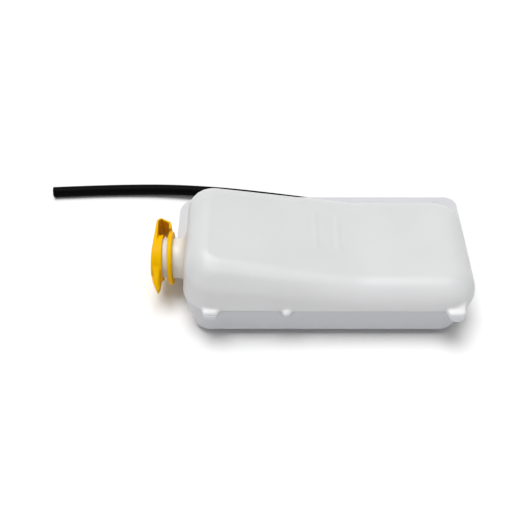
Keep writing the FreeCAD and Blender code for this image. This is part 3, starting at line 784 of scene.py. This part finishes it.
class StageSettings(bpy.types.PropertyGroup):
    floor_size: size("Floor", "Side of the square floor", 6000.0)
    sky: number("Sky", "Strength of the studio light overhead", 0.62)
    sky_from: number("Sky edge", "Height, as a share, above which the sky is as bright as overhead", 0.95)
    horizon: number("Horizon", "Strength of the studio light from the sides", 0.16)
    horizon_to: number("Horizon edge", "Height, as a share, up to which it is as dim as at the sides", 0.3)
    key: number("Key", "Strength of the softbox", 2.45)
    key_spread: angle("Softbox spread", "Angle that the softbox fills", 40.0)
    key_from: bpy.props.FloatVectorProperty(
        name="Softbox side", description="Direction that the softbox shines from",
        default=(-0.12, 0.10, 0.98), subtype="DIRECTION")
    eye: bpy.props.FloatVectorProperty(
        name="Eye", description="Place of the camera", default=(-0.05213, -0.55948, 0.6535), precision=5,
        subtype="TRANSLATION")
    tilt: angle("Tilt", "Angle that the camera looks down", 48.0)
    lens: number("Lens", "Focal length in millimetres", 55.79)


def middle_of(name):
    """The middle of a CAD node's box."""
    low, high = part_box(name)
    return (low + high) / 2


def axis_point():
    """The point where the neck's axis leaves the tank."""
    swivel = JOINTS["collar_swivel"]["pos_m"]
    return Vector((FRONT_BOX[0].x, swivel[1], swivel[2]))


def hinge_offset():
    """From the neck's axis point to the film hinge."""
    return Vector(JOINTS["lid_flip"]["pos_m"]) - axis_point()


def hinge_size():
    """Radius and height of the film hinge about the neck."""
    hinge = hinge_offset()
    return Vector((hinge.y, hinge.z)).length, -hinge.x


def neck_place():
    """The upright frame that the neck's pieces are drawn in, with its X side at the strap."""
    strap = hinge_offset()
    strap.x = 0
    strap.normalize()
    outward = Vector((-1, 0, 0))
    turn = Matrix((strap, outward.cross(strap), outward)).transposed().to_4x4()
    return Matrix.Translation(axis_point()) @ turn


def neck_drum(name, radius, before, depth):
    """Drum about the neck's axis, from before the tank's end to a depth inside."""
    axis = axis_point()
    return drum(name, radius, axis - Vector((before, 0, 0)), axis + Vector((depth, 0, 0)), TURNED_SIDES)


def level_mark(tank, name, from_end):
    """Raised bar across the sloping crown."""
    slope = math.atan(tank.rise / tank.run)
    height = tank.thick + math.tan(slope) * (tank.run - from_end)
    normal = Vector((math.sin(slope), 0, math.cos(slope)))
    deep = tank.mark_relief + tank.wall / 2
    middle = Vector((tank.left + from_end, tank.near + tank.depth / 2 + tank.mark_back, height))
    bpy.ops.mesh.primitive_cube_add(size=1.0, location=middle + normal * (tank.mark_relief - deep / 2),
                                    rotation=(0, slope, 0), scale=(tank.mark_width, tank.mark_length, deep))
    return settle(bpy.context.object, name)


class RESERVOIR_OT_front_half(bpy.types.Operator):
    """Moulds the upper half of the tank with its lugs, its pip and its level marks"""
    bl_idname = "reservoir.front_half"
    bl_label = "Front half"

    def execute(self, context):
        tank = context.scene.reservoir_tank
        neck = context.scene.reservoir_neck
        shell = upper_block(tank, "half", 0.0, SEAM - SPARE)
        seat = neck_drum("seat", neck.root, 0, tank.far_corner)
        marks = [level_mark(tank, f"mark_{i}", tank.mark_from_end + i * tank.mark_pitch) for i in range(2)]
        combine(shell, "UNION", *lugs(tank, SPARE), pip(tank), seat, *marks)
        combine(shell, "DIFFERENCE", upper_block(tank, "hollow", tank.wall, SEAM - DEEP))
        mould(shell, tank.grain, tank.rounds)
        cut_level(shell, True)
        combine(shell, "DIFFERENCE", neck_drum("opening", neck.radius, DEEP, DEEP))
        shell.name = "front_shell"
        # The upper half's near wall is painted lighter than its crown, a painted glow.
        finish_piece(shell, hdpe_with_painted_light("front", "c4c5c5", "dededf"), "tank", "tank_plastic", "front_half")
        return {"FINISHED"}


class RESERVOIR_OT_rear_half(bpy.types.Operator):
    """Moulds the lower half of the tank with its mounting flange"""
    bl_idname = "reservoir.rear_half"
    bl_label = "Rear half"

    def flange(self, tank, neck):
        """The mounting flange along the far side, with some to spare above the seam."""
        right = tank.left + tank.length + tank.flange_past
        near = axis_point().y + neck.root + tank.wall
        obj = block("flange", (REAR_BOX[0].x, near, SEAM - tank.flange_thick),
                    (right, REAR_BOX[1].y, SEAM + SPARE))

        def far_upright(p, n):
            return abs(n.z) > PARALLEL and p.y > near + TINY

        for side, radius in ((-1, tank.flange_corner), (1, tank.flange_end_corner)):
            bevel(obj, "EDGE", lambda p, n: far_upright(p, n) and p.x * side > 0, radius)
        return obj

    def execute(self, context):
        tank = context.scene.reservoir_tank
        neck = context.scene.reservoir_neck
        fitting = context.scene.reservoir_fitting
        shell = lower_block(tank, "half", 0.0, SEAM + SPARE)
        seat = neck_drum("seat", neck.root, 0, tank.far_corner)
        outlet = middle_of("elbow_grommet")
        outlet.y = tank.near + tank.depth
        inward = Vector((0, -tank.outlet_depth, 0))
        skin = Vector((0, -tank.wall, 0))
        pad = drum("pad", fitting.outlet_pad, outlet, outlet + inward)
        combine(shell, "UNION", *lugs(tank, 0.0), self.flange(tank, neck), pip(tank), seat, pad)
        spot = drum("spot", fitting.outlet_pad, outlet + skin, outlet + skin + inward)
        combine(shell, "DIFFERENCE", lower_block(tank, "hollow", tank.wall, SEAM + DEEP), spot)
        mould(shell, tank.rear_grain, tank.rounds)
        cut_level(shell, False)
        holes = [neck_drum("opening", neck.radius, DEEP, DEEP),
                 drum("hole", fitting.grommet_hole, outlet - inward, outlet + inward)]
        for name in ("sleeve_left", "sleeve_right"):
            low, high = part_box(name)
            foot = middle_of(name)
            foot.z = low.z - tank.wall
            holes.append(drum("hole", (high.x - low.x) / 2, foot, (foot.x, foot.y, SEAM + tank.wall)))
        combine(shell, "DIFFERENCE", *holes)
        shell.name = "rear_shell"
        # The lower half is a painted-shade copy of the plastic: its near wall is painted darker and bluer
        # than the upper half's, for the shade below the seam.
        finish_piece(shell, hdpe_with_painted_light("rear", "c5c5c7", "c4c5ca"), "tank", "tank_plastic", "rear_half")
        return {"FINISHED"}


class RESERVOIR_OT_neck(bpy.types.Operator):
    """Turns the filler neck, which flares into the tank at its root"""
    bl_idname = "reservoir.neck"
    bl_label = "Filler neck"

    def execute(self, context):
        neck = context.scene.reservoir_neck
        bore = neck.radius - neck.wall
        crest = neck.radius + neck.bead
        rim = 0.35 * neck.wall
        bead_end = neck.bead_place + neck.bead_length
        outline = soften([
            (bore, -neck.tail, 0), (neck.radius, -neck.tail, 0), (neck.radius, -neck.sink, 0),
            (neck.root + 1.6 * neck.sink, -neck.sink, 0),
            (neck.radius, 0.2 * neck.flare, 0.7 * neck.flare),
            (neck.radius, neck.bead_place, 0), (crest, neck.bead_place + TINY, 0.3 * neck.bead),
            (neck.radius, bead_end, 0), (neck.radius, neck.length, rim), (bore, neck.length, rim),
        ])
        piece = lathe("neck", outline, neck_place())
        # The neck is a painted-light copy of the plastic: painted lighter and warmer than the tank, for light
        # from the yellow cap and light let through.
        finish_piece(piece, hdpe_with_painted_light("neck", "d4d1cb", "dad7d2"), "tank", "tank_plastic", "filler_neck")
        return {"FINISHED"}


class RESERVOIR_OT_collar(bpy.types.Operator):
    """Moulds the loose collar with the strap that carries the lid"""
    bl_idname = "reservoir.collar"
    bl_label = "Cap collar"

    def execute(self, context):
        cap = context.scene.reservoir_cap
        hinge, height = hinge_size()
        depth = cap.collar_outer - cap.collar_inner
        edge = 0.3 * depth
        thick = cap.strap_thick
        ring = lathe("collar", soften([
            (cap.collar_inner, cap.collar_low, 0.1 * depth), (cap.collar_outer, cap.collar_low, edge),
            (cap.collar_outer, cap.collar_high, edge), (cap.collar_inner, cap.collar_high, 0.1 * depth),
        ]), neck_place())
        foot = cap.collar_outer - depth / 2
        low = cap.collar_high - thick
        bend = cap.strap_bend
        web = height - cap.web
        strap = plate("strap", soften([
            (foot, low, 0), (bend - thick / 3, low, 1.5 * thick),
            (bend + thick / 3, low + 2 * thick, thick), (hinge, web, 0),
            (hinge - thick, web, 0), (bend - 0.7 * thick, low + 1.7 * thick, thick / 2),
            (bend - 1.4 * thick, low + thick, thick / 3), (foot, low + thick, 0),
        ]), (-cap.strap_half, cap.strap_half), neck_place())
        combine(ring, "UNION", strap)
        mould(ring, cap.grain, cap.rounds)
        finish_piece(ring, yellow_pp(), "collar", "cap_plastic", "cap_collar")
        return {"FINISHED"}


class RESERVOIR_OT_lid(bpy.types.Operator):
    """Moulds the lid with its ear and its pull tab"""
    bl_idname = "reservoir.lid"
    bl_label = "Cap lid"

    def execute(self, context):
        cap = context.scene.reservoir_cap
        hinge, height = hinge_size()
        thick = cap.strap_thick
        skirt = cap.skirt_outer - cap.skirt_inner
        rim = cap.skirt_outer - 2 * skirt
        floor = cap.lid_top - cap.lid_dish
        bead = cap.skirt_outer + cap.skirt_bead
        fine, soft = 0.2 * skirt, 0.3 * skirt
        outline = soften([
            (0, cap.lid_under, 0), (cap.skirt_inner, cap.lid_under, soft),
            (cap.skirt_inner, cap.skirt_edge, fine), (bead, cap.skirt_edge, 2 * fine),
            (bead, cap.skirt_edge + skirt, 2 * fine), (cap.skirt_outer, cap.skirt_edge + 1.6 * skirt, 0),
            (cap.skirt_outer, cap.lid_top, 3 * soft), (rim, cap.lid_top, soft),
            (rim - skirt / 2, floor, fine), (0, floor, 0),
        ])
        still = Matrix.Identity(4)
        lid = lathe("lid", outline, still)
        top = cap.lid_top - 0.1 * skirt
        web = height + cap.web
        under = top - cap.ear_thick
        ear = plate("ear", soften([
            (cap.ear_root, under, 0), (hinge - thick, under, thick / 2), (hinge - thick, web, 0),
            (hinge, web, 0), (hinge, top, 2 * thick), (cap.ear_root, top, 0),
        ]), (-cap.strap_half, cap.strap_half), still, cap.ear_root + TINY, cap.ear_flare)
        tip = top - cap.tab_drop
        reach = cap.tab_reach
        start = 0.65 * (cap.skirt_outer - 1.5 * skirt)
        inner = top - 2.7 * cap.tab_thick
        tab = plate("tab", soften([
            (-start, top, 0), (-cap.skirt_outer, top - 0.12 * cap.tab_drop, 2 * thick),
            (-reach, tip, 0.3 * cap.tab_thick), (-reach, tip - 0.5 * cap.tab_thick, 0.2 * cap.tab_thick),
            (-0.86 * reach, inner, thick), (-start, inner, 0),
        ]), (-cap.tab_width / 2, cap.tab_width / 2), still, start + TINY, cap.tab_flare)
        bore = lathe("bore", [
            (0, cap.skirt_edge - skirt), (cap.skirt_inner, cap.skirt_edge - skirt),
            (cap.skirt_inner, cap.lid_under), (0, cap.lid_under),
        ], still)
        combine(lid, "UNION", ear, tab)
        combine(lid, "DIFFERENCE", bore)
        pick(lid, "VERT", lambda p, n: p.z > under + TINY)
        bpy.ops.transform.rotate(value=-cap.lid_tilt, orient_axis="Y", center_override=(0, 0, cap.lid_top))
        done()
        lid.matrix_world = neck_place()
        settle(lid, "lid")
        mould(lid, cap.grain, cap.rounds)
        finish_piece(lid, yellow_pp(), "lid", "cap_plastic", "cap_lid")
        return {"FINISHED"}


class RESERVOIR_OT_hinge(bpy.types.Operator):
    """Adds the film hinge, the thin web between the strap and the lid's ear"""
    bl_idname = "reservoir.hinge"
    bl_label = "Film hinge"

    def execute(self, context):
        cap = context.scene.reservoir_cap
        hinge, height = hinge_size()
        overlap = 0.3 * cap.web
        low, high = height - cap.web - overlap, height + cap.web + overlap
        margin = cap.web / 2
        web = block("film", (hinge - cap.web, margin - cap.strap_half, low),
                    (hinge - 0.1 * cap.web, cap.strap_half - margin, high))
        cuts = 7
        for i in range(1, cuts):
            score(web, (0, 0, low + (high - low) * i / cuts), (0, 0, 1))
        place = neck_place()
        web.matrix_world = place
        settle(web, "film")
        finish_piece(web, yellow_pp(), None, "cap_plastic", "film_hinge")
        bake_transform(web)
        return {"FINISHED"}


class RESERVOIR_OT_rings(bpy.types.Operator):
    """Turns the lid's seal, the grommet and the two flange sleeves"""
    bl_idname = "reservoir.rings"
    bl_label = "Seal, grommet and sleeves"

    def execute(self, context):
        neck = context.scene.reservoir_neck
        cap = context.scene.reservoir_cap
        tank = context.scene.reservoir_tank
        fitting = context.scene.reservoir_fitting
        low = neck.length + (cap.lid_under - neck.length) * cap.seal_gap
        edge = 0.2 * (cap.lid_under - low)
        inner = neck.radius - cap.seal_width
        seal = lathe("seal", soften([
            (inner, low, edge), (neck.radius, low, edge), (neck.radius, cap.lid_under, edge),
            (inner, cap.lid_under, edge),
        ]), neck_place())
        finish_piece(seal, moulded_rubber(), "lid", "seal_rubber", "lid_seal")

        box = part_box("elbow_grommet")
        lip = (box[1].x - box[0].x) / 2
        back = tank.near + tank.depth
        front, rear = box[0].y - back, box[1].y - back
        soft = 0.3 * rear
        middle = middle_of("elbow_grommet")
        place = Matrix.Translation((middle.x, back, middle.z))
        grommet = lathe("grommet", soften([
            (fitting.stem_radius, front, 0), (lip, front, soft), (lip, -tank.wall, soft),
            (fitting.grommet_hole, -tank.wall, 0), (fitting.grommet_hole, 0, 0), (lip, 0, soft),
            (lip, rear, soft), (fitting.stem_radius, rear, soft),
        ]), place @ Matrix.Rotation(math.radians(-90), 4, "X"), SMALL_SIDES)
        finish_piece(grommet, moulded_rubber(), "tank", "seal_rubber", "elbow_grommet")

        for name in ("sleeve_left", "sleeve_right"):
            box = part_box(name)
            radius = (box[1].x - box[0].x) / 2
            high = box[1].z - box[0].z
            edge = 0.25 * (radius - fitting.bolt_radius)
            middle = middle_of(name)
            place = Matrix.Translation((middle.x, middle.y, box[0].z))
            sleeve = lathe(name.replace("sleeve", "bush"), soften([
                (fitting.bolt_radius, 0, edge), (radius, 0, edge), (radius, high, edge),
                (fitting.bolt_radius, high, edge),
            ]), place, SMALL_SIDES)
            finish_piece(sleeve, zinc_steel(), "tank", "zinc_steel", name)
        return {"FINISHED"}


class RESERVOIR_OT_stage(bpy.types.Operator):
    """Adds the floor, the lights and the camera"""
    bl_idname = "reservoir.stage"
    bl_label = "Stage"

    def execute(self, context):
        settings = context.scene.reservoir_stage
        bpy.ops.mesh.primitive_plane_add(size=settings.floor_size, location=(0, 0, 0))
        floor = context.object
        floor.name = "floor"
        material, tree, shader, coords = new_material("matt_white_card",
                                                      {"Roughness": 0.9, "Specular IOR Level": 0.0})
        speck = add(tree, "ShaderNodeTexNoise", inputs={"Vector": coords, "Scale": repeats(333.3)})
        tint = add(tree, "ShaderNodeMix", {"data_type": "RGBA"},
                   {0: speck.outputs["Fac"], MIX_A: linear("f0f0f0"), MIX_B: linear("f3f3f3")})
        # The light that the card throws back onto the object is a little stronger than the eye sees it.
        card = add(tree, "ShaderNodeMix", {"data_type": "RGBA"},
                   {0: background_rays(tree), MIX_A: linear(BOUNCE_WHITE), MIX_B: tint.outputs[MIX_OUT]})
        tree.links.new(card.outputs[MIX_OUT], shader.inputs["Base Color"])
        floor.data.materials.append(material)

        world = bpy.data.worlds.new("studio")
        context.scene.world = world
        world.use_nodes = True
        background = world.node_tree.nodes["Background"]
        background.inputs["Color"].default_value = (1, 1, 1, 1)
        rise = add(world.node_tree, "ShaderNodeSeparateXYZ",
                   inputs={0: add(world.node_tree, "ShaderNodeTexCoord").outputs["Generated"]})
        glow = add(world.node_tree, "ShaderNodeMapRange", {"interpolation_type": "SMOOTHSTEP"},
                   {"Value": rise.outputs["Z"],
                    "From Min": settings.horizon_to, "From Max": settings.sky_from,
                    "To Min": settings.horizon, "To Max": settings.sky})
        # The backdrop beyond the floor is white to the eye.
        seen = add(world.node_tree, "ShaderNodeMath", {"operation": "MAXIMUM"},
                   {0: glow.outputs["Result"], 1: background_rays(world.node_tree)})
        world.node_tree.links.new(seen.outputs[0], background.inputs["Strength"])

        bpy.ops.object.light_add(type="SUN")
        sun = context.object
        sun.name = "softbox"
        sun.data.energy = settings.key
        sun.data.angle = settings.key_spread
        sun.rotation_euler = Vector(settings.key_from).to_track_quat("Z", "Y").to_euler()

        bpy.ops.object.camera_add(location=settings.eye, rotation=(math.radians(90) - settings.tilt, 0, 0))
        camera = context.object
        camera.data.sensor_width = 36.0
        camera.data.lens = settings.lens
        camera.data.clip_start = 10 * MM
        context.scene.camera = camera
        context.scene.view_settings.view_transform = "Standard"
        return {"FINISHED"}


class RESERVOIR_OT_fittings(bpy.types.Operator):
    """Gives the elbow and the clamp their finishes"""
    bl_idname = "reservoir.fittings"
    bl_label = "Elbow and clamp"

    def execute(self, context):
        finish_node("hose_elbow", black_nylon())
        finish_node("hose_clamp", zinc_steel())
        return {"FINISHED"}


class RESERVOIR_OT_hose(bpy.types.Operator):
    """Lays the overflow hose along its route"""
    bl_idname = "reservoir.hose"
    bl_label = "Overflow hose"

    def execute(self, context):
        settings = context.scene.reservoir_hose
        curve = bpy.data.curves.new("hose_route", "CURVE")
        curve.dimensions = "3D"
        curve.resolution_u = 24
        spline = curve.splines.new("NURBS")
        spline.points.add(len(HOSE_ROUTE) - 1)
        for point, place in zip(spline.points, HOSE_ROUTE):
            point.co = (*place, 1.0)
        spline.order_u = 3
        spline.use_endpoint_u = True
        route = bpy.data.objects.new("hose_route", curve)
        context.collection.objects.link(route)
        context.view_layer.update()
        line = bpy.data.meshes.new_from_object(route)
        bpy.data.meshes.remove(line)
        curve.bevel_depth = settings.diameter / 2
        curve.bevel_resolution = 10
        only(route)
        bpy.ops.object.convert(target="MESH")
        hose = context.object
        hose.name = "hose"
        wall = hose.modifiers.new("wall", "SOLIDIFY")
        wall.thickness = settings.wall
        wall.offset = -1.0
        bpy.ops.object.modifier_apply(modifier=wall.name)
        finish_piece(hose, black_epdm(), "tank", "hose_rubber", "overflow_hose")
        return {"FINISHED"}


class RESERVOIR_PT_panel(bpy.types.Panel):
    """Lists the steps that dress the reservoir"""
    bl_idname = "RESERVOIR_PT_panel"
    bl_label = "Coolant reservoir"
    bl_space_type = "VIEW_3D"
    bl_region_type = "UI"
    bl_category = "Reservoir"

    def draw(self, context):
        for step in STEPS:
            self.layout.operator(step.bl_idname)


STEPS = (RESERVOIR_OT_stage, RESERVOIR_OT_hose, RESERVOIR_OT_front_half, RESERVOIR_OT_rear_half,
         RESERVOIR_OT_neck, RESERVOIR_OT_collar, RESERVOIR_OT_lid, RESERVOIR_OT_hinge, RESERVOIR_OT_rings,
         RESERVOIR_OT_fittings)
GROUPS = {"reservoir_stage": StageSettings, "reservoir_hose": HoseSettings, "reservoir_tank": TankSettings,
          "reservoir_neck": NeckSettings, "reservoir_cap": CapSettings, "reservoir_fitting": FittingSettings}
CLASSES = (*GROUPS.values(), *STEPS, RESERVOIR_PT_panel)


def register():
    """Adds the settings, the operators and the panel."""
    for item in CLASSES:
        bpy.utils.register_class(item)
    for name, group in GROUPS.items():
        setattr(bpy.types.Scene, name, bpy.props.PointerProperty(type=group))


def unregister():
    """Takes them away again."""
    for name in GROUPS:
        delattr(bpy.types.Scene, name)
    for item in reversed(CLASSES):
        bpy.utils.unregister_class(item)


def main():
    """Dresses the reservoir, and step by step."""
    register()
    bpy.ops.reservoir.stage()
    bpy.ops.reservoir.hose()
    bpy.ops.reservoir.front_half()
    bpy.ops.reservoir.rear_half()
    bpy.ops.reservoir.neck()
    bpy.ops.reservoir.collar()
    bpy.ops.reservoir.lid()
    bpy.ops.reservoir.hinge()
    bpy.ops.reservoir.rings()
    bpy.ops.reservoir.fittings()


if __name__ == "__main__":
    main()
